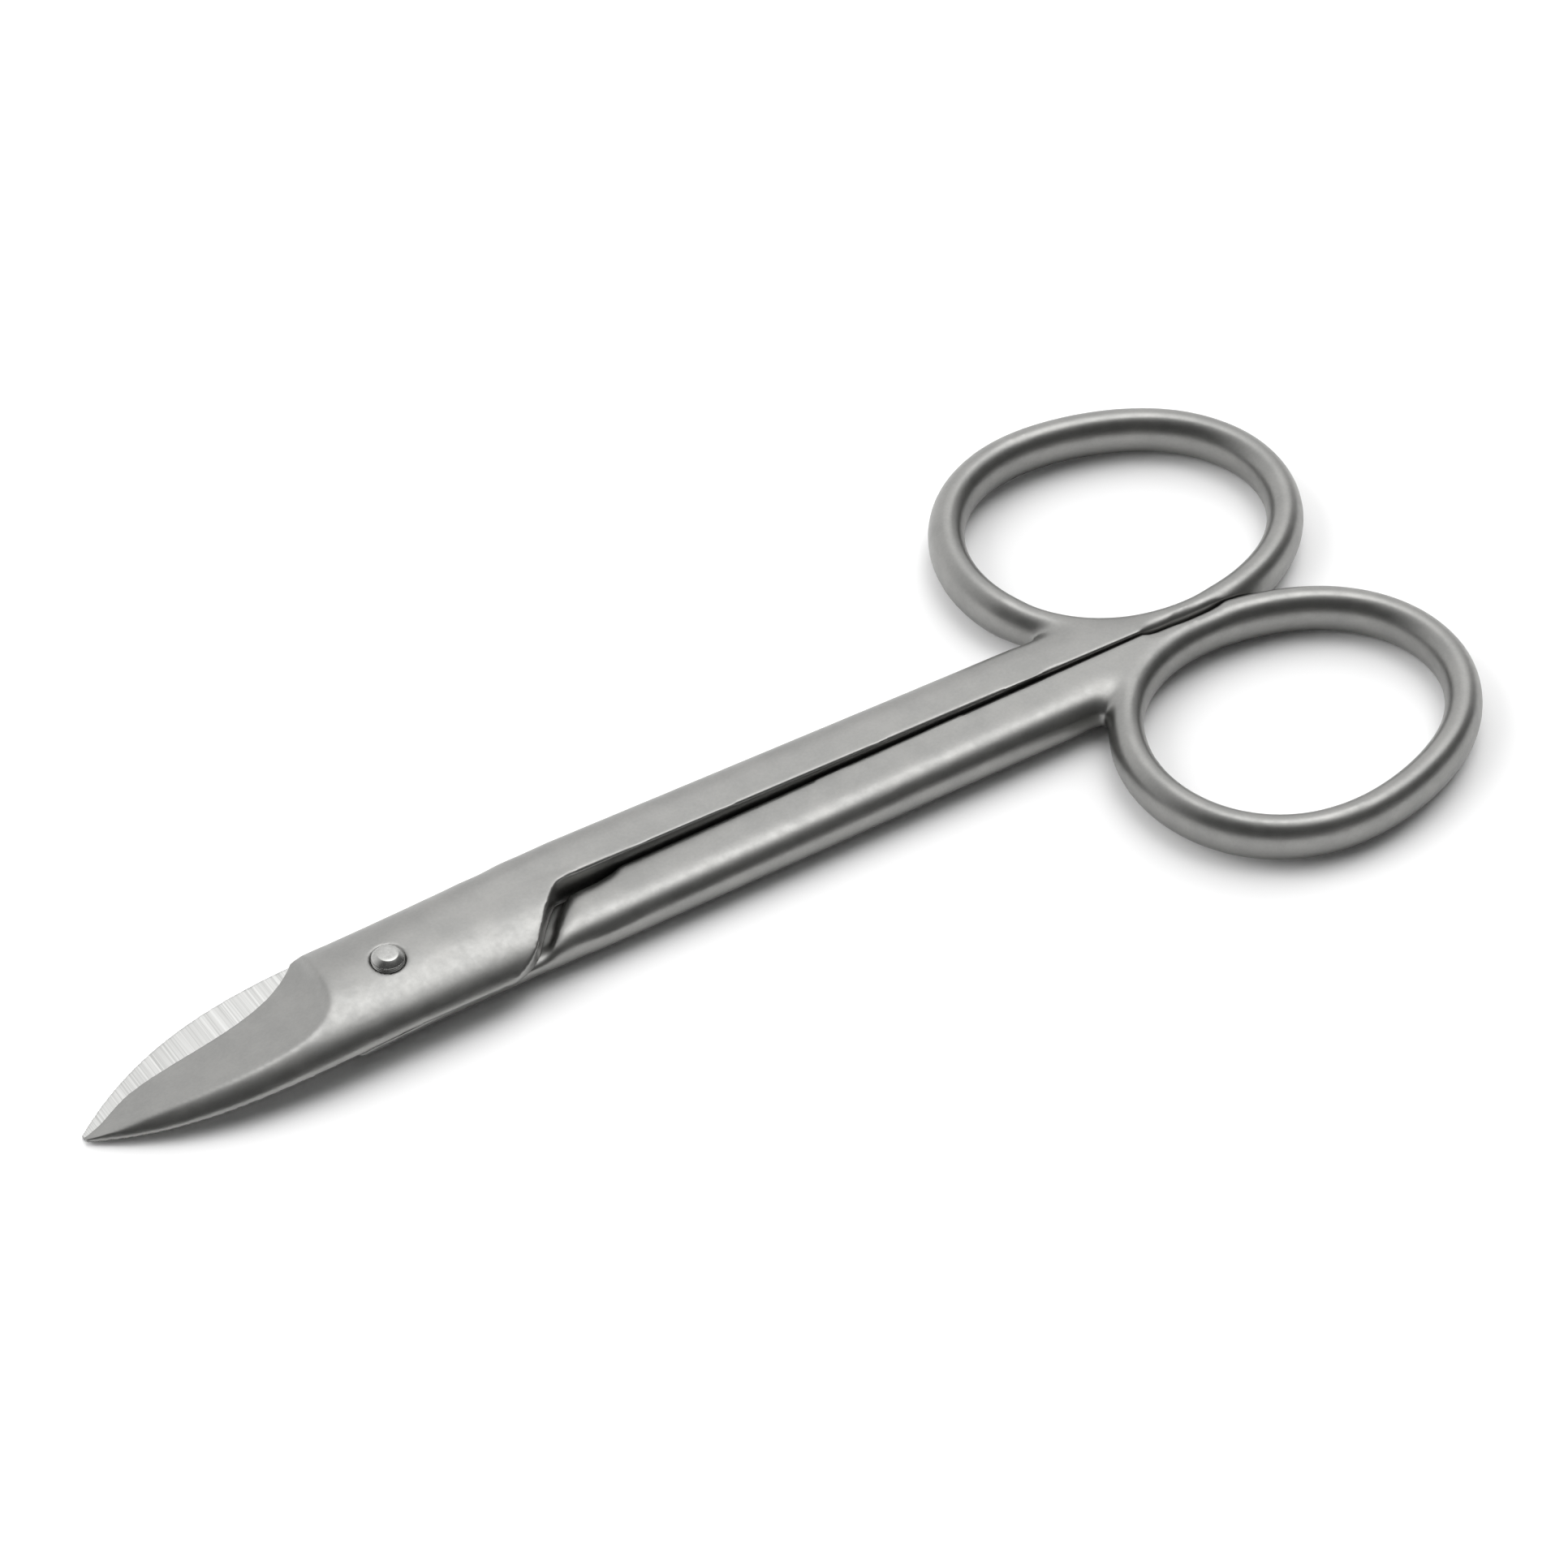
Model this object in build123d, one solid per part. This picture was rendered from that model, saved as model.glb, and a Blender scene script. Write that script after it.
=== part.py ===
from build123d import *
from math import cos, exp, pi, radians, sin, sqrt, tan
import os

# Long-handled nail scissors, closed. Millimetres. +X runs towards the finger rings, +Z up.
# The two halves are alike: each is drawn as the upper one, thick side up, and the lower one
# is turned over about the long axis. The halves face each other on the parting surface, flat
# around the hinge and bent down along the blades. The pair is drawn with that surface at
# height 0, and then laid on the ground: it rests on its tip and its rings, pitched a little.

# Overall
TIP_X = -49.55
HINGE_X = -27.05
PARTING_GAP = 0.06
REST_PITCH = 0.45
REST_HEIGHT = 2.135
REST_SHIFT = -0.379

# Hinge plate and blade: a half-ellipse across, whose far side grows fuller towards the handle
PLATE_HALF_WIDTH = 4.64
PLATE_THICKNESS = 2.12
CROWN_START_WIDTH = 0.1
CROWN_END_WIDTH = 2.85
BLADE_ROOT_X = -31.4
BLADE_STATIONS = 10
SPINE_START_X = -29.7
SPINE_POWER = 3.2
SPINE_MEETING_X = -50.06
TAPER_START_X = -36.0
TIP_THICKNESS = 1.0

# Cutting edge in plan: a lap over the middle line, and a sweep out to the root corner
EDGE_LAP = 1.5
EDGE_LAP_LENGTH = 3.0
EDGE_SWEEP = 3.6
EDGE_SWEEP_LENGTH = 3.1
EDGE_THICKNESS = 0.14
EDGE_POINTS = 12

# Ground facet above the cutting edge: a slope across the blade that steepens at the root
FACET_SLOPE = 0.24
FACET_STEEPENING = 0.1
FACET_WALL_X = -31.2
FACET_END_DISTANCE = 0.12
FACET_STATION_GROWTH = 1.5
FACET_ROOT_STATIONS = 8
FACET_BLADE_STATIONS = 12
FACET_REACH = 3.0

# Bend of the blades, a surface of revolution about the hinge axis so that it still clears open
BEND_START = 1.0
BEND_END = 18.0
BEND_ANGLE = 10.0
BEND_REACH = 26.0

# Neck, where the plate steps down to the handle
NECK_START_X = -21.0
NECK_END_X = -13.0
NECK_CORNER = (-18.4, -3.95)
NECK_MIDDLE = (-16.4, -1.85)
NECK_THROAT = (-14.7, -0.1)
NECK_CLEARANCE = 0.9

# Handles: flat at the seam, rounded outside, as thick as the rings at their end. The seam
# leans towards the upper half's side at the neck.
SEAM_GAP = 0.2
SEAM_LEAN = 0.3
HANDLE_START_X = -17.0
HANDLE_END_X = 34.4
HANDLE_START_WIDTH = 4.25
HANDLE_END_WIDTH = 4.0
HANDLE_EDGE = 1.8
HANDLE_SINK_START = 1.0

# Finger rings: egg-shaped ovals of an oval bar
RING_X = 36.8
RING_Y = 10.9
RING_MEAN_RADIUS = 11.08
RING_OVAL = 0.95
RING_EGG = 0.22
RING_TILT = 6.3
RING_BAR_WIDTH = 2.6
RING_BAR_HEIGHT = 3.5
RING_POINTS = 24

# Pivot screw: its head is sunk in the lower half, its end is proud of the upper half
SCREW_RADIUS = 1.11
SCREW_PROUD = 0.5
SCREW_CHAMFER = 0.36
SCREW_HEAD_RADIUS = 2.2
SCREW_HEAD_DEPTH = 0.95
SCREW_HEAD_PROUD = 0.2
SCREW_SLOT_WIDTH = 0.5
SCREW_SLOT_DEPTH = 0.35
THREAD_PLAY = 0.02
BORE_PLAY = 0.06
HEAD_PLAY = 0.1

# Room for cutters, beyond any outline
BEYOND = 30.0
SKIRT = 1.0


def droop(radius):
    """How far the parting surface has bent down at this distance from the hinge."""
    bend = radians(BEND_ANGLE)
    bend_radius = (BEND_END - BEND_START) / sin(bend)
    if radius <= BEND_START:
        return 0.0
    if radius <= BEND_END:
        return bend_radius - sqrt(bend_radius**2 - (radius - BEND_START) ** 2)
    return bend_radius * (1 - cos(bend)) + (radius - BEND_END) * tan(bend)


def base_height(x, bend):
    """Height of the parting surface on the middle line; bend is 1 for the upper half, -1 for the lower."""
    return -bend * droop(HINGE_X - x)


def spine_y(x):
    """The blade's back: straight, then a curve towards the middle line, short of which the tip is cut."""
    share = max(0.0, (SPINE_START_X - x) / (SPINE_START_X - SPINE_MEETING_X))
    return PLATE_HALF_WIDTH * (share**SPINE_POWER - 1)


def plate_share(x):
    """0 at the root of the blade, 1 where the handle starts."""
    return max(0.0, (x - BLADE_ROOT_X) / (HANDLE_START_X - BLADE_ROOT_X))


def far_y(x, bend):
    """The plate's far side, which runs over into the handle's outer side."""
    handle_side = seam_wall(HANDLE_START_X, bend) + HANDLE_START_WIDTH
    return PLATE_HALF_WIDTH + (handle_side - PLATE_HALF_WIDTH) * plate_share(x)


def crown(x):
    """Thickness of a half on its crown, thinner towards the tip."""
    share = min(1.0, (x - TIP_X) / (TAPER_START_X - TIP_X))
    return TIP_THICKNESS + (PLATE_THICKNESS - TIP_THICKNESS) * share


def edge_y(x):
    """The cutting edge in plan."""
    lap = EDGE_LAP * (1 - exp(-(((x - TIP_X) / EDGE_LAP_LENGTH) ** 2)))
    return lap + EDGE_SWEEP * exp((x - BLADE_ROOT_X) / EDGE_SWEEP_LENGTH)


def oval_point(angle):
    """A point of a finger ring's centreline, at this angle about the ring's centre."""
    radius = RING_MEAN_RADIUS + RING_EGG * cos(3 * angle)
    radius += RING_OVAL * cos(2 * (angle + radians(RING_TILT)))
    return (RING_X + radius * cos(angle), RING_Y + radius * sin(angle))


def across(x):
    """A plane across the blade or handle, with its own x along +Y and its own y along +Z."""
    return Plane(origin=(x, 0, 0), x_dir=(0, 1, 0), z_dir=(1, 0, 0))


def plate_section(x, bend):
    """Half-ellipse with a flat crown, and a skirt below the parting surface."""
    near, far = spine_y(x), far_y(x, bend)
    base, top = base_height(x, bend), base_height(x, bend) + crown(x)
    middle = (near + far) / 2
    shoulder = middle + CROWN_START_WIDTH + (CROWN_END_WIDTH - CROWN_START_WIDTH) * plate_share(x)
    with BuildSketch(across(x)) as section:
        with BuildLine():
            EllipticalCenterArc((shoulder, base), far - shoulder, crown(x), 0, arc_size=90)
            Line((shoulder, top), (middle, top))
            EllipticalCenterArc((middle, base), middle - near, crown(x), 90, arc_size=90)
            Polyline((near, base), (near, base - SKIRT), (far, base - SKIRT), (far, base))
        make_face()
    return section.sketch


def plate_blank(bend):
    """Hinge plate and blade before grinding, from the tip to the end of the neck."""
    length = BLADE_ROOT_X - TIP_X
    stations = [TIP_X + length * (i / BLADE_STATIONS) ** 2 for i in range(BLADE_STATIONS + 1)]
    blade = loft([plate_section(x, bend) for x in stations])
    plate = loft([plate_section(x, bend) for x in (BLADE_ROOT_X, HANDLE_START_X)], ruled=True)
    neck = extrude(plate_section(HANDLE_START_X, bend), NECK_END_X - HANDLE_START_X)
    return blade + plate + (neck & Pos(0, -BEYOND + 1, 0) * Box(4 * BEYOND, 2 * BEYOND, BEYOND))


def above_parting(bend):
    """The room above the parting surface: bent in front of the hinge, flat behind it."""
    lift = PARTING_GAP / 2
    middle = (BEND_START + BEND_END) / 2
    knots = [(r, lift - bend * droop(r)) for r in (BEND_START, middle, BEND_END, BEND_REACH)]
    with BuildPart() as room:
        with BuildSketch(Plane.XZ):
            with BuildLine():
                Line((0, lift), knots[0])
                ThreePointArc(*knots[:3])
                Polyline(knots[2], knots[3], (BEND_REACH, BEYOND), (0, BEYOND), (0, lift))
            make_face()
        revolve(axis=Axis.Z)
    front = room.part & Pos(-BEYOND, 0, 0) * Box(2 * BEYOND, 4 * BEYOND, 4 * BEYOND)
    back = Pos(BEYOND, 0, lift + BEYOND / 2) * Box(2 * BEYOND, 2 * BEND_REACH, BEYOND)
    return Pos(HINGE_X, 0, 0) * (front + back)


def edge_cutter():
    """Everything beyond the cutting edge, seen from above."""
    step = (BLADE_ROOT_X - TIP_X) / EDGE_POINTS
    points = [(TIP_X + i * step, edge_y(TIP_X + i * step)) for i in range(EDGE_POINTS + 1)]
    with BuildSketch() as outline:
        with BuildLine():
            Spline(*points)
            Polyline(points[-1], (BLADE_ROOT_X, BEYOND), (TIP_X - 1, BEYOND), (TIP_X - 1, 0), points[0])
        make_face()
    return extrude(outline.sketch, BEYOND, both=True)


def facet_section(x, bend):
    slope = FACET_SLOPE + FACET_STEEPENING / (FACET_WALL_X - x)
    edge = (edge_y(x), base_height(x, bend) + EDGE_THICKNESS)
    top = edge[1] + FACET_REACH
    with BuildSketch(across(x)) as section:
        with BuildLine():
            Polyline(edge, (edge[0] - FACET_REACH / slope, top), (BEYOND, top), (BEYOND, edge[1]), edge)
        make_face()
    return section.sketch


def facet_cutter(bend):
    """The ground facet, a ruled surface that ends in a short rise at the root of the blade."""
    root = [FACET_WALL_X - FACET_END_DISTANCE * FACET_STATION_GROWTH**i for i in range(FACET_ROOT_STATIONS)]
    step = (TIP_X - root[-1]) / FACET_BLADE_STATIONS
    blade = [root[-1] + step * (i + 1) for i in range(FACET_BLADE_STATIONS)]
    return loft([facet_section(x, bend) for x in root + blade], ruled=True)


def handle_share(x):
    """0 where the handle starts, 1 where it ends."""
    return (x - HANDLE_START_X) / (HANDLE_END_X - HANDLE_START_X)


def seam_wall(x, bend):
    """Where the handle's inner wall is: the seam leans to the upper half's side."""
    return SEAM_GAP / 2 + bend * SEAM_LEAN * (1 - handle_share(x))


def neck_points(bend):
    """The neck's wall in plan, from the near side of the plate to the seam."""
    start = (NECK_START_X, -PLATE_HALF_WIDTH)
    end = (NECK_END_X, seam_wall(NECK_END_X, bend))
    return [start, NECK_CORNER, NECK_MIDDLE, NECK_THROAT, end]


def neck_cutter(bend):
    """What the plate lacks on the near side of the handle."""
    with BuildSketch() as outline:
        with BuildLine():
            wall = Spline(*neck_points(bend), tangents=[(1, 0), (1, 0)])
            start, end = wall @ 0, wall @ 1
            Polyline(end, (BEYOND, end.Y), (BEYOND, -BEYOND), (start.X, -BEYOND), start)
        make_face()
    return extrude(outline.sketch, BEYOND, both=True)


def sink_cutter(bend):
    """Room under the plate for the other half's plate, whose neck is the mirror of this one."""
    points = [(x + NECK_CLEARANCE, -y) for x, y in neck_points(-bend)]
    with BuildSketch() as outline:
        with BuildLine():
            wall = Spline(*points, tangents=[(1, 0), (1, 0)])
            start, end = wall @ 0, wall @ 1
            Polyline(end, (end.X, -BEYOND), (-BEYOND, -BEYOND), (-BEYOND, BEYOND), (start.X, BEYOND), start)
        make_face()
    return Pos(0, 0, PARTING_GAP / 2) * extrude(outline.sketch, -BEYOND)


def handle_section(x, bend):
    """Flat inner wall, flat top and bottom, and a half-ellipse for the outer edge."""
    share = handle_share(x)
    top = PLATE_THICKNESS + (RING_BAR_HEIGHT / 2 - PLATE_THICKNESS) * share
    bottom = -HANDLE_SINK_START - (RING_BAR_HEIGHT / 2 - HANDLE_SINK_START) * share
    wall = seam_wall(x, bend)
    outer = wall + HANDLE_START_WIDTH + (HANDLE_END_WIDTH - HANDLE_START_WIDTH) * share - HANDLE_EDGE
    with BuildSketch(across(x)) as section:
        with BuildLine():
            EllipticalCenterArc((outer, (top + bottom) / 2), HANDLE_EDGE, (top - bottom) / 2, -90, arc_size=180)
            Polyline((outer, top), (wall, top), (wall, bottom), (outer, bottom))
        make_face()
    return section.sketch


def oval():
    return Spline(*[oval_point(2 * pi * i / RING_POINTS) for i in range(RING_POINTS)], periodic=True)


def handle(bend):
    """The handle, up to the ring's centreline."""
    with BuildSketch() as inside:
        with BuildLine():
            oval()
        make_face()
    bar = loft([handle_section(x, bend) for x in (HANDLE_START_X, HANDLE_END_X)])
    return bar - extrude(inside.sketch, BEYOND, both=True) - sink_cutter(bend)


def finger_ring():
    """An oval bar bent round, flat where it faces the other half's ring."""
    with BuildPart() as ring:
        with BuildLine() as path:
            line = oval()
        section = Plane(origin=line @ 0, x_dir=(0, 0, 1), z_dir=line % 0)
        with BuildSketch(section):
            Ellipse(RING_BAR_HEIGHT / 2, RING_BAR_WIDTH / 2)
        sweep(path=path.wires()[0])
    return ring.part - Pos(0, SEAM_GAP / 2 - BEYOND, 0) * Box(4 * BEYOND, 2 * BEYOND, BEYOND)


def half(bend):
    """One half, thick side up."""
    blade = plate_blank(bend) & above_parting(bend)
    blade = blade - edge_cutter() - facet_cutter(bend) - neck_cutter(bend)
    return blade + handle(bend) + finger_ring()


def upper_half():
    bore = Cylinder(SCREW_RADIUS + THREAD_PLAY, BEYOND)
    return half(1) - Pos(HINGE_X, 0, 0) * bore


def lower_half():
    bore = Cylinder(SCREW_RADIUS + BORE_PLAY, BEYOND)
    recess = Cylinder(SCREW_HEAD_RADIUS + HEAD_PLAY, BEYOND)
    recess_floor = PLATE_THICKNESS + SCREW_HEAD_PROUD - SCREW_HEAD_DEPTH - BORE_PLAY
    cutters = bore + Pos(0, 0, recess_floor + BEYOND / 2) * recess
    body = half(-1) - Pos(HINGE_X, 0, 0) * cutters
    return Rot(180, 0, 0) * body


def pivot_screw():
    head_bottom = -PLATE_THICKNESS - SCREW_HEAD_PROUD
    end = PLATE_THICKNESS + SCREW_PROUD
    with BuildPart() as screw:
        with Locations((0, 0, head_bottom)):
            Cylinder(SCREW_RADIUS, end - head_bottom, align=(Align.CENTER, Align.CENTER, Align.MIN))
        chamfer(screw.edges().sort_by(Axis.Z)[-1:], SCREW_CHAMFER)
        with Locations((0, 0, head_bottom)):
            Cylinder(SCREW_HEAD_RADIUS, SCREW_HEAD_DEPTH, align=(Align.CENTER, Align.CENTER, Align.MIN))
            Box(4 * SCREW_HEAD_RADIUS, SCREW_SLOT_WIDTH, 2 * SCREW_SLOT_DEPTH, mode=Mode.SUBTRACT)
    return Pos(HINGE_X, 0, 0) * screw.part


os.makedirs("parts", exist_ok=True)
for name, build in (("upper_half", upper_half), ("lower_half", lower_half), ("pivot_screw", pivot_screw)):
    shape = Pos(REST_SHIFT, 0, REST_HEIGHT) * Rot(0, REST_PITCH, 0) * build()
    shape.label = name
    export_step(shape, f"parts/{name}.step")
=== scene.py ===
import math

import bmesh
import bpy
import numpy as np
from mathutils import Matrix, Vector, kdtree
from mathutils.bvhtree import BVHTree


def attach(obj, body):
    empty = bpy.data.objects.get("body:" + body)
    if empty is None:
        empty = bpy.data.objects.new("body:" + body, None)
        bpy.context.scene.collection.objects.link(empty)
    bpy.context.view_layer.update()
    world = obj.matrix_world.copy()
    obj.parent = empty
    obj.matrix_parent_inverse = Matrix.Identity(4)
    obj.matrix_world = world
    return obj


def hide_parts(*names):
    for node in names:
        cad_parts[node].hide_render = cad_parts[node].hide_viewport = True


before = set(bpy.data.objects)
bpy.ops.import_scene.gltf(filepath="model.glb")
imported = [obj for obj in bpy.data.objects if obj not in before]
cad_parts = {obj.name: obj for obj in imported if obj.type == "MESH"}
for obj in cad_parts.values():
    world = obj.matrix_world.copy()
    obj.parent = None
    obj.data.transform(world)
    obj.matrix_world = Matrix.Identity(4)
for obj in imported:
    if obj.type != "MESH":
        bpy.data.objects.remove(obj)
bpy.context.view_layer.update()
scene = bpy.context.scene

MM = 0.001

# ---------------------------------------------------------------- camera
CAMERA_TARGET = Vector((4.635, 3.103, 0.666)) * MM
CAMERA_RIGHT = Vector((0.85072, -0.52557, -0.00668))
CAMERA_FORWARD = Vector((0.36618, 0.60174, -0.70981))
CAMERA_DISTANCE = 480 * MM
CAMERA_LENS = 164.4
CAMERA_SENSOR = 36.0


def add_camera():
    data = bpy.data.cameras.new("camera")
    data.lens = CAMERA_LENS
    data.sensor_width = CAMERA_SENSOR
    data.clip_start = 0.01
    data.clip_end = 20
    camera = bpy.data.objects.new("camera", data)
    scene.collection.objects.link(camera)
    forward = CAMERA_FORWARD.normalized()
    right = (CAMERA_RIGHT - forward * CAMERA_RIGHT.dot(forward)).normalized()
    up = right.cross(forward)
    turn = Matrix((right, up, -forward)).transposed().to_4x4()
    camera.matrix_world = Matrix.Translation(CAMERA_TARGET - forward * CAMERA_DISTANCE) @ turn
    scene.camera = camera


# ---------------------------------------------------------------- node helpers
def new_material(name):
    material = bpy.data.materials.new(name)
    material.use_nodes = True
    return material, material.node_tree, material.node_tree.nodes["Principled BSDF"]


def node(tree, kind, **values):
    made = tree.nodes.new(kind)
    for key, value in values.items():
        if hasattr(made, key):
            setattr(made, key, value)
        else:
            made.inputs[key].default_value = value
    return made


def ramp(tree, source, stops):
    made = tree.nodes.new("ShaderNodeValToRGB")
    tree.links.new(source, made.inputs["Fac"])
    elements = made.color_ramp.elements
    while len(elements) < len(stops):
        elements.new(0.5)
    for element, (place, level) in zip(elements, stops):
        element.position = place
        element.color = (*level, 1) if isinstance(level, tuple) else (level, level, level, 1)
    return made.outputs["Color"]


# ---------------------------------------------------------------- steel
EVEN = (1, 1, 1)
CLOUD_SCALE = 420
GRAIN_SHARE = 0.6
PATCH_SHARE = 0.3
LINE_STRETCH = (1, 0.008, 0.008)
LINE_SCALE = 7500
LINE_HEIGHT = 0.000006
BAND_STRETCH = (1, 0.02, 0.02)
BAND_SCALE = 1500
BAND_SHARE = 0.45
GROUND_DARK = (0.40, 0.40, 0.392)
GROUND_LIGHT = (0.64, 0.64, 0.63)


def stretched_noise(tree, stretch, scale, detail=3.0, rough=0.55):
    """Noise in object space, drawn out along the axes whose stretch is small."""
    place = node(tree, "ShaderNodeTexCoord")
    mapping = node(tree, "ShaderNodeMapping")
    mapping.inputs["Scale"].default_value = stretch
    tree.links.new(place.outputs["Object"], mapping.inputs["Vector"])
    noise = node(tree, "ShaderNodeTexNoise")
    noise.inputs["Scale"].default_value = scale
    noise.inputs["Detail"].default_value = detail
    noise.inputs["Roughness"].default_value = rough
    tree.links.new(mapping.outputs["Vector"], noise.inputs["Vector"])
    return noise.outputs["Fac"]


def steel(name, dark, light, smooth, rough, grain_scale):
    """Metal with faint clouds of colour under a fine blasted grain, and patchy gloss."""
    material, tree, shader = new_material(name)
    shader.inputs["Metallic"].default_value = 1.0
    clouds = stretched_noise(tree, EVEN, CLOUD_SCALE)
    grain = stretched_noise(tree, EVEN, grain_scale)
    mixed = node(tree, "ShaderNodeMath", operation="MULTIPLY_ADD")
    tree.links.new(grain, mixed.inputs[0])
    mixed.inputs[1].default_value = GRAIN_SHARE
    tree.links.new(clouds, mixed.inputs[2])
    colour = ramp(tree, mixed.outputs["Value"], ((0.6, dark), (1.0, light)))
    tree.links.new(colour, shader.inputs["Base Color"])
    patches = stretched_noise(tree, EVEN, grain_scale * PATCH_SHARE)
    tree.links.new(ramp(tree, patches, ((0.3, smooth), (0.7, rough))), shader.inputs["Roughness"])
    return material


def ground_steel(name):
    """Bright steel with fine lines across the blade, as a grinding belt leaves them."""
    material, tree, shader = new_material(name)
    shader.inputs["Metallic"].default_value = 1.0
    lines = stretched_noise(tree, LINE_STRETCH, LINE_SCALE, detail=2.0, rough=0.6)
    bands = stretched_noise(tree, BAND_STRETCH, BAND_SCALE, detail=3.0)
    mixed = node(tree, "ShaderNodeMath", operation="MULTIPLY_ADD")
    tree.links.new(bands, mixed.inputs[0])
    mixed.inputs[1].default_value = BAND_SHARE
    tree.links.new(lines, mixed.inputs[2])
    colour = ramp(tree, mixed.outputs["Value"], ((0.50, GROUND_DARK), (0.92, GROUND_LIGHT)))
    tree.links.new(colour, shader.inputs["Base Color"])
    tree.links.new(ramp(tree, lines, ((0.35, 0.34), (0.65, 0.46))), shader.inputs["Roughness"])
    bump = node(tree, "ShaderNodeBump")
    bump.inputs["Strength"].default_value = 1.0
    bump.inputs["Distance"].default_value = LINE_HEIGHT
    tree.links.new(lines, bump.inputs["Height"])
    tree.links.new(bump.outputs["Normal"], shader.inputs["Normal"])
    return material


satin = steel("satin_steel", (0.265, 0.265, 0.258), (0.30, 0.298, 0.289), 0.33, 0.41, 4500)
screw_steel = steel("screw_steel", (0.36, 0.36, 0.35), (0.46, 0.46, 0.448), 0.20, 0.30, 4000)
ground = ground_steel("ground_steel")


# ---------------------------------------------------------------- the two halves
# Lengths are in millimetres, in the frame the halves are drawn in.
REST_PITCH = math.radians(0.45)
REST_HEIGHT = 2.135
REST_SHIFT = -0.379
HINGE_X = -27.05
BLADE_ROOT_X = -31.4
BEND_START = 1.0
BEND_END = 18.0
BEND_ANGLE = math.radians(10)
PLATE_THICKNESS = 2.12
SCREW_RADIUS = 1.11

# The mesh: the blade in front of PARTING_X is finer, for its thin edge.
FRONT_CELL = 0.095
REAR_CELL = 0.18
PARTING_X = -29.6
PARTING_LAP = 0.05
CUT_TOLERANCE = 0.01
WELD_DISTANCE = 0.0001

# What counts as a sharp edge of the CAD surface. The reaches, in cells, are how near a point is
# to be pulled to one.
SHARP_ANGLE = math.radians(24)
NEEDLE_HEIGHT = 0.004
SHORTEST_CHAIN = 1.0
SAMPLE_STEP = 0.02
SNAP_REACH = 0.6
EDGE_REACH = 1.8
THIN_EDGE_X = BLADE_ROOT_X + 0.3

# The junctions: where each begins and ends, in x and then in y.
LEAST_SHARE = 0.02
RING_JUNCTION = (((23.2, 25.0), (34.0, 37.5)), ((0.55, 1.5), (6.0, 8.0)))
HANDLE_END = (((31.5, 33.0), (36.8, 38.5)), ((0.05, 0.2), (2.4, 3.6)))
HANDLE_SIDE_START = ((-19.5, -17.8), (-15.0, -12.5))
HANDLE_SIDE_Y = (2.6, 3.6)
NECK_UNDERSIDE = ((-21.0, -19.5), (-12.0, -9.5))
NECK_UNDERSIDE_Z = (-0.1, -0.35)

# Softening: the weight of each round and the number of rounds, and where it applies.
BLADE_START = (BLADE_ROOT_X + 1, BLADE_ROOT_X - 1)
FACE_SOFTENING = (0.5, 14)
FACE_DISTANCE = (0.1, 0.4)
EDGE_SOFTENING = (0.5, 2)
BLADE_EDGE_RELIEF = 0.2
JUNCTION_SOFTENING = (0.6, 40)
BACK_SOFTENING = (0.5, 40)
BACK_HEIGHT = (0.4, 0.7)

# The small countersink round the screw's end.
SINK_RADII = (1.26, 1.12)
SINK_DEPTH = 0.08
SINK_LOWEST = 1.5

# The ground inner face of the blade.
GROUND_END_X = -29
GROUND_TOLERANCE = 0.09
GROUND_FACING = -0.8


def smoothstep(low, high, values):
    share = np.clip((values - low) / (high - low), 0, 1)
    return share * share * (3 - 2 * share)


def between(values, rise, fall):
    """1 between the end of the rise and the start of the fall, 0 outside both."""
    return smoothstep(*rise, values) * smoothstep(*fall[::-1], values)


def drawn(points):
    """Points of the rest frame, in metres, to the frame the halves are drawn in, in millimetres."""
    x, y, z = points[:, 0] / MM - REST_SHIFT, points[:, 1] / MM, points[:, 2] / MM - REST_HEIGHT
    c, d = math.cos(REST_PITCH), math.sin(REST_PITCH)
    return np.column_stack((x * c - z * d, y, x * d + z * c))


def placed(points):
    """Points of the frame the halves are drawn in, in millimetres, to the rest frame, in metres."""
    x, y, z = points.T
    c, d = math.cos(REST_PITCH), math.sin(REST_PITCH)
    return np.column_stack((x * c + z * d + REST_SHIFT, y, z * c - x * d + REST_HEIGHT)) * MM


def parting_height(x, y):
    """Height of the surface on which the two blades meet."""
    radius = np.hypot(x - HINGE_X, y)
    bend_radius = (BEND_END - BEND_START) / math.sin(BEND_ANGLE)
    within = np.clip(radius - BEND_START, 0, BEND_END - BEND_START)
    arc = bend_radius - np.sqrt(bend_radius**2 - within**2)
    return -np.where(x < HINGE_X, arc + np.maximum(radius - BEND_END, 0) * math.tan(BEND_ANGLE), 0)


def read_points(mesh):
    points = np.empty(len(mesh.vertices) * 3)
    mesh.vertices.foreach_get("co", points)
    return points.reshape(-1, 3)


def junction_share(points, side):
    """1 where the ring runs into the handle and where the handle leaves the plate, 0 elsewhere."""
    x, y, z = drawn(points).T
    y, z = y * side, z * side
    ring = between(x, *RING_JUNCTION[0]) * between(y, *RING_JUNCTION[1])
    end = between(x, *HANDLE_END[0]) * between(y, *HANDLE_END[1])
    side_start = between(x, *HANDLE_SIDE_START) * smoothstep(*HANDLE_SIDE_Y, y)
    under = between(x, *NECK_UNDERSIDE) * smoothstep(*NECK_UNDERSIDE_Z, z)
    return np.clip(ring + end + side_start + under, 0, 1)


def is_sharp(edge):
    """Whether two sound faces meet at an angle here. A needle-thin face has no dependable direction."""
    if len(edge.link_faces) != 2 or edge.calc_face_angle(0) < SHARP_ANGLE:
        return False
    return min(face.calc_area() for face in edge.link_faces) * 2 > NEEDLE_HEIGHT * MM * edge.calc_length()


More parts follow.
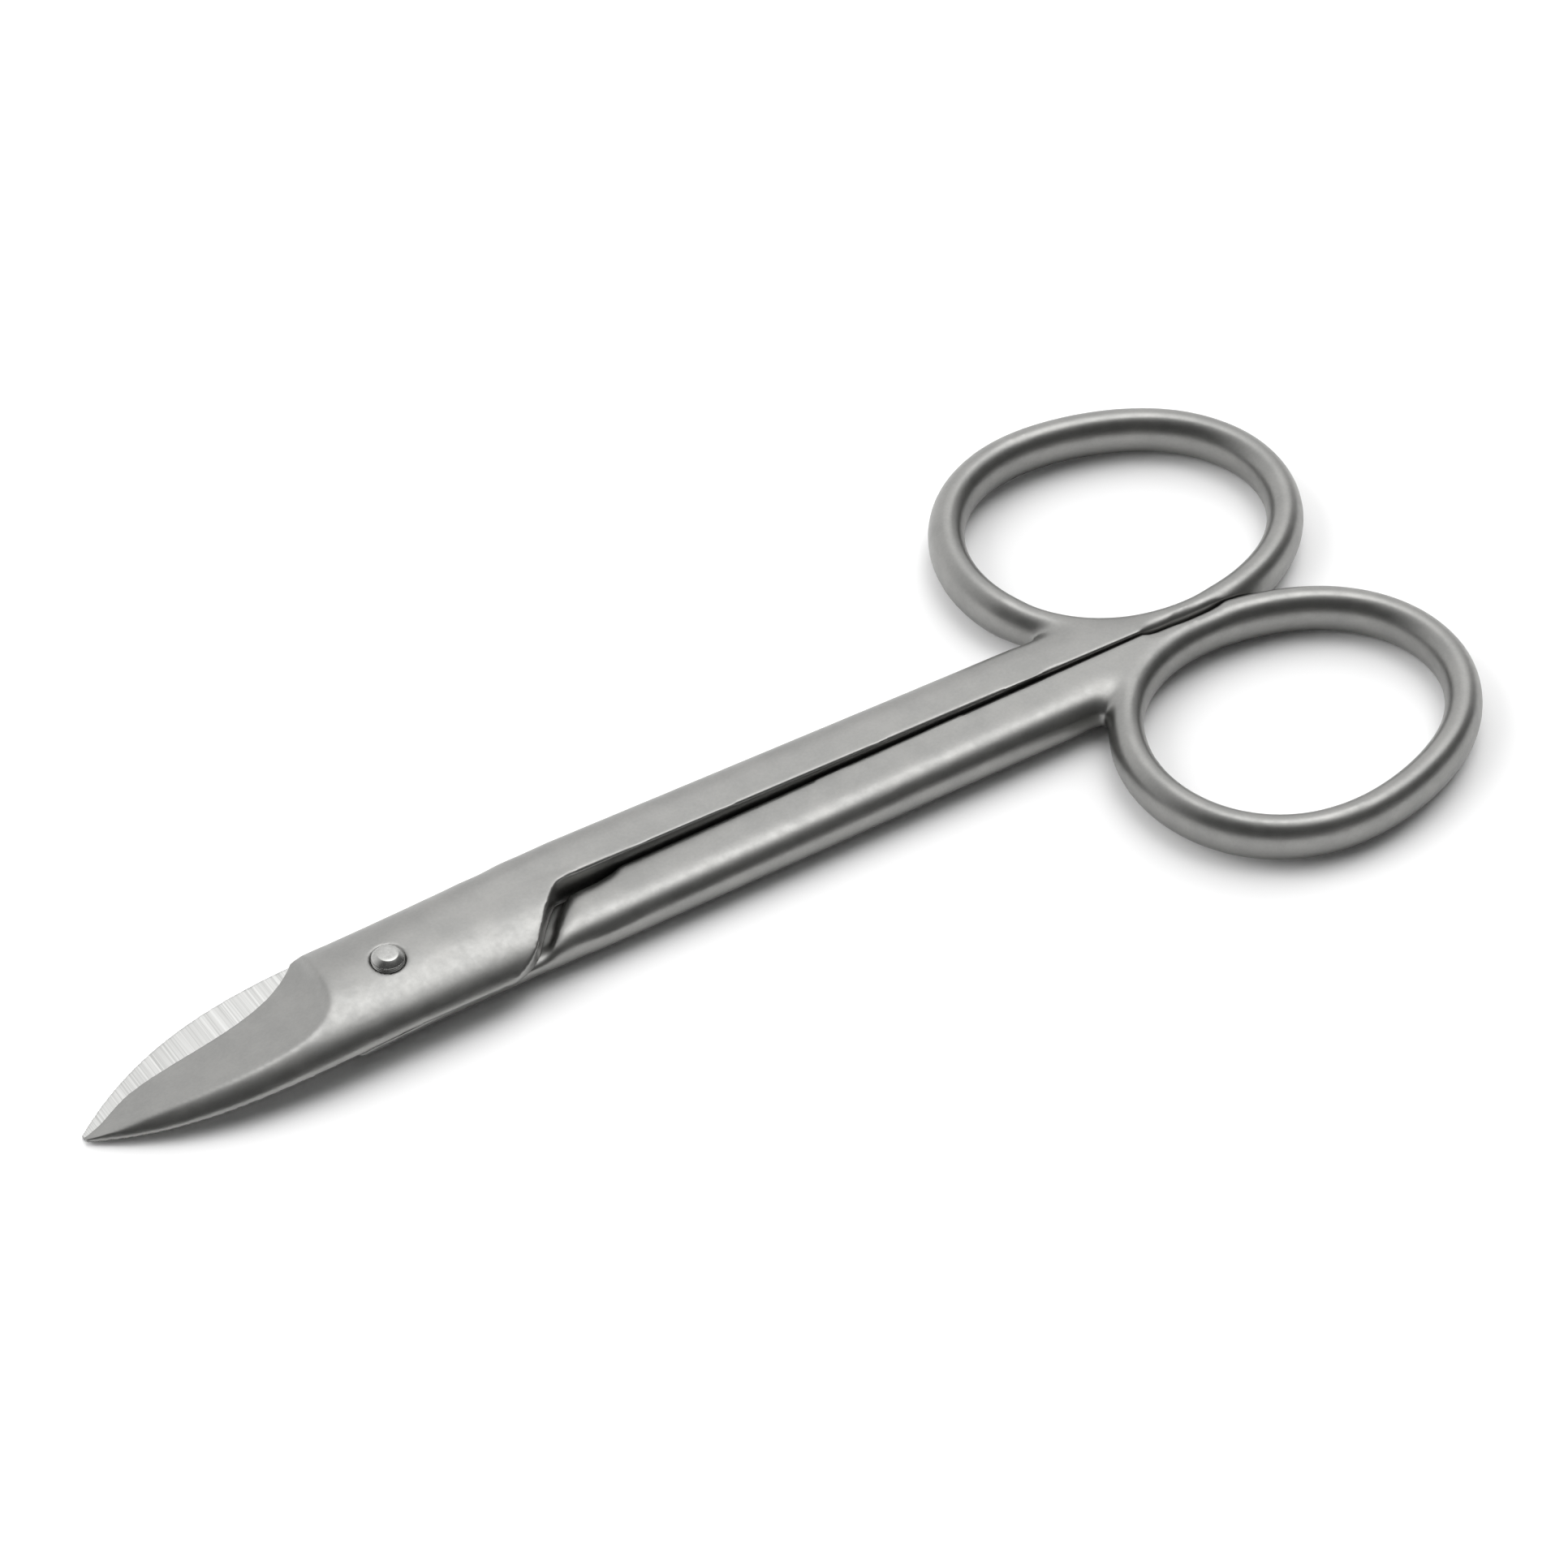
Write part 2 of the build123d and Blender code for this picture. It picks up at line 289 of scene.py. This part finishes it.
def chains(edges):
    """The sharp ones of these edges, in groups that hang together."""
    waiting = {edge for edge in edges if is_sharp(edge)}
    for first in edges:
        if first not in waiting:
            continue
        waiting.remove(first)
        chain, front = [first], [first]
        while front:
            for vertex in front.pop().verts:
                for edge in vertex.link_edges:
                    if edge in waiting:
                        waiting.remove(edge)
                        chain.append(edge)
                        front.append(edge)
        yield chain


def sharp_points(source, side):
    """Points along the sharp edges of a mesh, apart from short stray ones and those at the junctions."""
    work = bmesh.new()
    work.from_mesh(source)
    bmesh.ops.remove_doubles(work, verts=work.verts, dist=WELD_DISTANCE * MM)
    found = []
    for chain in chains(work.edges):
        if sum(edge.calc_length() for edge in chain) < SHORTEST_CHAIN * MM:
            continue
        for edge in chain:
            a, b = edge.verts[0].co, edge.verts[1].co
            count = max(2, int((b - a).length / (SAMPLE_STEP * MM)) + 1)
            found += [a.lerp(b, i / (count - 1)) for i in range(count)]
    work.free()
    found = np.array(found)
    return found[junction_share(found, side) < LEAST_SHARE]


def evenly_meshed(source, cell):
    """A mesh again, as small even faces of this size in millimetres."""
    piece = bpy.data.objects.new("even", source.copy())
    scene.collection.objects.link(piece)
    weld = piece.modifiers.new("weld", "WELD")
    weld.merge_threshold = WELD_DISTANCE * MM
    remesh = piece.modifiers.new("remesh", "REMESH")
    remesh.mode = "VOXEL"
    remesh.voxel_size = cell * MM
    bpy.context.view_layer.update()
    mesh = bpy.data.meshes.new_from_object(piece.evaluated_get(bpy.context.evaluated_depsgraph_get()))
    bpy.data.objects.remove(piece)
    return mesh


def trimmed(mesh, x, keep_front):
    """The part of a mesh in front of this x, or behind it."""
    work = bmesh.new()
    work.from_mesh(mesh)
    bmesh.ops.bisect_plane(
        work, geom=work.verts[:] + work.edges[:] + work.faces[:], dist=CUT_TOLERANCE * MM,
        plane_co=((x + REST_SHIFT) * MM, 0, 0), plane_no=(1, 0, 0),
        clear_outer=keep_front, clear_inner=not keep_front,
    )
    work.to_mesh(mesh)
    work.free()
    return mesh


def finely_meshed(source, name):
    """The blade in fine faces and the rest in coarser ones, joined through the plate."""
    front = trimmed(evenly_meshed(source, FRONT_CELL), PARTING_X - PARTING_LAP, True)
    rear = trimmed(evenly_meshed(source, REAR_CELL), PARTING_X + PARTING_LAP, False)
    work = bmesh.new()
    work.from_mesh(front)
    work.from_mesh(rear)
    bmesh.ops.bridge_loops(work, edges=[edge for edge in work.edges if edge.is_boundary])
    bmesh.ops.recalc_face_normals(work, faces=work.faces)
    mesh = bpy.data.meshes.new(name)
    work.to_mesh(mesh)
    work.free()
    piece = bpy.data.objects.new(name, mesh)
    scene.collection.objects.link(piece)
    return piece


def relax(points, edges, weights, rounds):
    """Moves each point towards the middle of its neighbours, by its weight, this many times."""
    a, b = edges[(weights[edges] > 0).any(axis=1)].T
    size = len(points)
    count = np.maximum(np.bincount(a, minlength=size) + np.bincount(b, minlength=size), 1)[:, None]
    for _ in range(rounds):
        total = np.column_stack([
            np.bincount(a, points[b, axis], size) + np.bincount(b, points[a, axis], size)
            for axis in range(3)
        ])
        points = points + weights[:, None] * (total / count - points)
    return points


def drawn_to_edges(points, sharp):
    """Brings the points nearest to the blade's thin edges out to them, so that no edge is left ragged."""
    tree = kdtree.KDTree(len(points))
    for i, point in enumerate(points):
        tree.insert(point, i)
    tree.balance()
    best = {}
    for target in sharp[drawn(sharp)[:, 0] < THIN_EDGE_X]:
        _, i, distance = tree.find(target)
        if distance < best.get(i, (EDGE_REACH * FRONT_CELL * MM,))[0]:
            best[i] = (distance, target)
    for i, (_, target) in best.items():
        points[i] = target
    return points


def on_surface(points, source):
    """The points moved to the nearest place on the CAD surface."""
    corners = [vertex.co for vertex in source.vertices]
    surface = BVHTree.FromPolygons(corners, [tuple(face.vertices) for face in source.polygons])
    return np.array([surface.find_nearest(Vector(point))[0] for point in points])


def snapped(points, sharp):
    """The points near a sharp edge moved onto it, and how far each point was from one."""
    tree = kdtree.KDTree(len(sharp))
    for i, point in enumerate(sharp):
        tree.insert(point, i)
    tree.balance()
    reach = np.where(drawn(points)[:, 0] < PARTING_X, FRONT_CELL, REAR_CELL) * SNAP_REACH * MM
    apart = np.empty(len(points))
    for i, point in enumerate(points):
        nearest, _, apart[i] = tree.find(point)
        if apart[i] < reach[i]:
            points[i] = nearest
    return drawn_to_edges(points, sharp), apart


def softened(points, edges, apart, side):
    """Evens the faces, then rounds every edge a little and the blade's back and the junctions more."""
    x, y, z = drawn(points).T
    blade = smoothstep(*BLADE_START, x)
    proud = (z - parting_height(x, y)) * side
    weight, rounds = FACE_SOFTENING
    points = relax(points, edges, weight * smoothstep(*FACE_DISTANCE, apart / MM), rounds)
    weight, rounds = EDGE_SOFTENING
    points = relax(points, edges, weight - BLADE_EDGE_RELIEF * blade, rounds)
    weight, rounds = BACK_SOFTENING
    points = relax(points, edges, weight * blade * smoothstep(*BACK_HEIGHT, proud), rounds)
    weight, rounds = JUNCTION_SOFTENING
    return relax(points, edges, weight * junction_share(points, side), rounds)


def countersunk(points):
    local = drawn(points)
    radius = np.hypot(local[:, 0] - HINGE_X, local[:, 1])
    sunk = smoothstep(*SINK_RADII, radius) * (local[:, 2] > SINK_LOWEST)
    local[:, 2] -= SINK_DEPTH * sunk
    return placed(local)


def add_steel(mesh, side):
    """Satin steel all over, and ground steel on the flat inner face of the blade."""
    mesh.materials.clear()
    mesh.materials.append(satin)
    mesh.materials.append(ground)
    centres = np.empty(len(mesh.polygons) * 3)
    normals = np.empty(len(mesh.polygons) * 3)
    mesh.polygons.foreach_get("center", centres)
    mesh.polygons.foreach_get("normal", normals)
    x, y, z = drawn(centres.reshape(-1, 3)).T
    level = np.abs(z - parting_height(x, y)) < GROUND_TOLERANCE
    inner = (x < GROUND_END_X) & level & (normals.reshape(-1, 3)[:, 2] * side < GROUND_FACING)
    mesh.polygons.foreach_set("material_index", inner.astype(int))
    mesh.polygons.foreach_set("use_smooth", np.ones(len(mesh.polygons), dtype=bool))


def add_half(node_name, body, side):
    """A half with softened edges and fillets. side is 1 for the upper half, -1 for the lower."""
    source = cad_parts[node_name].data
    piece = finely_meshed(source, node_name + "_steel")
    mesh = piece.data
    edges = np.empty(len(mesh.edges) * 2, dtype=int)
    mesh.edges.foreach_get("vertices", edges)
    points = on_surface(read_points(mesh), source)
    points, apart = snapped(points, sharp_points(source, side))
    points = softened(points, edges.reshape(-1, 2), apart, side)
    if side > 0:
        points = countersunk(points)
    mesh.vertices.foreach_set("co", points.ravel())
    mesh.update()
    add_steel(mesh, side)
    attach(piece, body)
    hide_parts(node_name)


add_half("upper_half", "upper", 1)
add_half("lower_half", "lower", -1)


# ---------------------------------------------------------------- the pivot screw
SCREW_PROUD = 0.5
HEAD_SUNK = 0.2
HEAD_RADIUS = 2.2
HEAD_HEIGHT = 0.95
HEAD_SOFTENING = 0.06
SHANK_TOP = 0.8
GROOVE_RADIUS = 1.05
GROOVE_PITCH = 0.16
GROOVE_COUNT = 5
GROOVE_START = 0.40
SCREW_SIDES = 96
SCREW_CREASE = math.radians(32)
SLOT_REACH = 3.0
SLOT_HALF_WIDTH = 0.25
SLOT_TAPER = 0.02
SLOT_LOWEST = -2.9
SLOT_HIGHEST = -1.97


def screw_profile():
    """Radius and height along the screw, from the middle of its end to the middle of its head."""
    end = PLATE_THICKNESS + SCREW_PROUD
    head = -PLATE_THICKNESS - HEAD_SUNK
    shoulder = head + HEAD_HEIGHT
    # The end is almost flat, with a chamfer round it.
    profile = [(0.0, end), (0.5, end - 0.003), (0.7, end - 0.012), (0.76, end - 0.035)]
    profile += [(1.03, end - 0.29), (1.09, end - 0.36)]
    for turn in range(GROOVE_COUNT):
        height = end - GROOVE_START - GROOVE_PITCH * turn
        profile += [(SCREW_RADIUS, height), (SCREW_RADIUS, height - GROOVE_PITCH / 4)]
        profile += [(GROOVE_RADIUS, height - GROOVE_PITCH / 2)]
        profile += [(GROOVE_RADIUS, height - GROOVE_PITCH * 3 / 4)]
    profile += [(SCREW_RADIUS, SHANK_TOP), (SCREW_RADIUS, shoulder)]
    profile += [(HEAD_RADIUS - HEAD_SOFTENING, shoulder), (HEAD_RADIUS, head + 0.9)]
    # The rim of the head is rounded.
    profile += [(HEAD_RADIUS, head + 0.16), (2.16, head + 0.06), (2.06, head + 0.01)]
    profile += [(1.6, head), (0.0, head)]
    return profile


def turned_mesh():
    """The screw's profile turned round the hinge's axis."""
    work = bmesh.new()
    rings = []
    for radius, height in screw_profile():
        count = SCREW_SIDES if radius else 1
        turns = [2 * math.pi * i / SCREW_SIDES for i in range(count)]
        local = np.array([(HINGE_X + radius * math.cos(a), radius * math.sin(a), height) for a in turns])
        rings.append([work.verts.new(point) for point in placed(local)])
    for upper, lower in zip(rings, rings[1:]):
        for i in range(SCREW_SIDES):
            k = (i + 1) % SCREW_SIDES
            corners = [upper[i % len(upper)], upper[k % len(upper)]]
            corners += [lower[k % len(lower)], lower[i % len(lower)]]
            work.faces.new(list(dict.fromkeys(corners)))
    bmesh.ops.recalc_face_normals(work, faces=work.faces)
    mesh = bpy.data.meshes.new("pivot_screw_steel")
    work.to_mesh(mesh)
    work.free()
    mesh.materials.append(screw_steel)
    return mesh


def slot_cutter():
    """A bar across the screw's head, a little narrower at the bottom of the slot."""
    slot_corners = np.array([
        (HINGE_X + x * SLOT_REACH, y * (SLOT_HALF_WIDTH - SLOT_TAPER * (z == SLOT_HIGHEST)), z)
        for x in (-1, 1) for y in (-1, 1) for z in (SLOT_LOWEST, SLOT_HIGHEST)
    ])
    cutter_mesh = bpy.data.meshes.new("slot")
    cutter_mesh.from_pydata(
        [tuple(point) for point in placed(slot_corners)], [],
        [(0, 1, 3, 2), (4, 6, 7, 5), (0, 4, 5, 1), (2, 3, 7, 6), (0, 2, 6, 4), (1, 5, 7, 3)],
    )
    cutter = bpy.data.objects.new("slot", cutter_mesh)
    scene.collection.objects.link(cutter)
    return cutter


def add_screw():
    piece = bpy.data.objects.new("pivot_screw_steel", turned_mesh())
    scene.collection.objects.link(piece)
    cutter = slot_cutter()
    cut = piece.modifiers.new("slot", "BOOLEAN")
    cut.operation = "DIFFERENCE"
    cut.object = cutter
    bpy.context.view_layer.update()
    evaluated = piece.evaluated_get(bpy.context.evaluated_depsgraph_get())
    finished = bpy.data.meshes.new_from_object(evaluated)
    piece.modifiers.clear()
    bpy.data.objects.remove(cutter)
    piece.data = finished
    finished.name = "pivot_screw_steel"
    finished.shade_smooth()
    finished.set_sharp_from_angle(angle=SCREW_CREASE)
    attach(piece, "upper")
    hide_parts("pivot_screw")


add_screw()


# ---------------------------------------------------------------- studio
FLOOR_REACH = 3.0
FLOOR_COLOUR = (0.93, 0.93, 0.93, 1)
SKY_STRENGTH = 4.0
SOFTBOX_SIZE = (0.9, 0.9)


def add_floor():
    mesh = bpy.data.meshes.new("floor")
    corners = [(x * FLOOR_REACH, y * FLOOR_REACH, 0) for x, y in ((-1, -1), (1, -1), (1, 1), (-1, 1))]
    mesh.from_pydata(corners, [], [(0, 1, 2, 3)])
    floor = bpy.data.objects.new("floor", mesh)
    scene.collection.objects.link(floor)
    material, _, shader = new_material("pale_floor")
    shader.inputs["Base Color"].default_value = FLOOR_COLOUR
    shader.inputs["Roughness"].default_value = 0.9
    shader.inputs["Specular IOR Level"].default_value = 0.0
    mesh.materials.append(material)


# The two glows of the sky: a direction, and the light at each share of the way round to it.
OVERHEAD = (
    Vector((0.30, 0.12, 0.946)),
    ((0.70, 0.11), (0.88, 0.18), (0.95, 0.6), (0.982, 2.4), (1.0, 3.5)),
)
BEHIND = (Vector((0.0, 1.0, 0.0)), ((0.45, 0.0), (0.85, 1.1)))


def add_dome():
    """Soft light from overhead and behind, darker towards the viewer's side."""
    world = bpy.data.worlds.new("studio")
    world.use_nodes = True
    scene.world = world
    tree = world.node_tree
    place = node(tree, "ShaderNodeTexCoord")
    total = None
    for axis, stops in (OVERHEAD, BEHIND):
        dot = node(tree, "ShaderNodeVectorMath", operation="DOT_PRODUCT")
        dot.inputs[1].default_value = axis.normalized()
        tree.links.new(place.outputs["Generated"], dot.inputs[0])
        share = node(tree, "ShaderNodeMapRange")
        share.inputs["From Min"].default_value = -1.0
        tree.links.new(dot.outputs["Value"], share.inputs["Value"])
        levels = tuple((at, value / SKY_STRENGTH) for at, value in stops)
        level = ramp(tree, share.outputs["Result"], levels)
        if total is not None:
            added = node(tree, "ShaderNodeVectorMath", operation="ADD")
            tree.links.new(total, added.inputs[0])
            tree.links.new(level, added.inputs[1])
            level = added.outputs["Vector"]
        total = level
    tree.links.new(total, tree.nodes["Background"].inputs["Color"])
    tree.nodes["Background"].inputs["Strength"].default_value = SKY_STRENGTH


def add_softbox(name, place, power):
    """A soft square light aimed at the scissors. The steel shows only the sky and the floor."""
    data = bpy.data.lights.new(name, "AREA")
    data.shape = "RECTANGLE"
    data.size, data.size_y = SOFTBOX_SIZE
    data.energy = power
    light = bpy.data.objects.new(name, data)
    scene.collection.objects.link(light)
    light.location = place
    light.visible_glossy = False
    light.rotation_euler = (-Vector(place)).to_track_quat("-Z", "Y").to_euler()


add_camera()
add_floor()
add_dome()
add_softbox("left_softbox", (-0.75, 0.35, 0.6), 6.0)
add_softbox("right_softbox", (0.85, 0.45, 0.5), 5.5)
scene.view_settings.view_transform = "Standard"
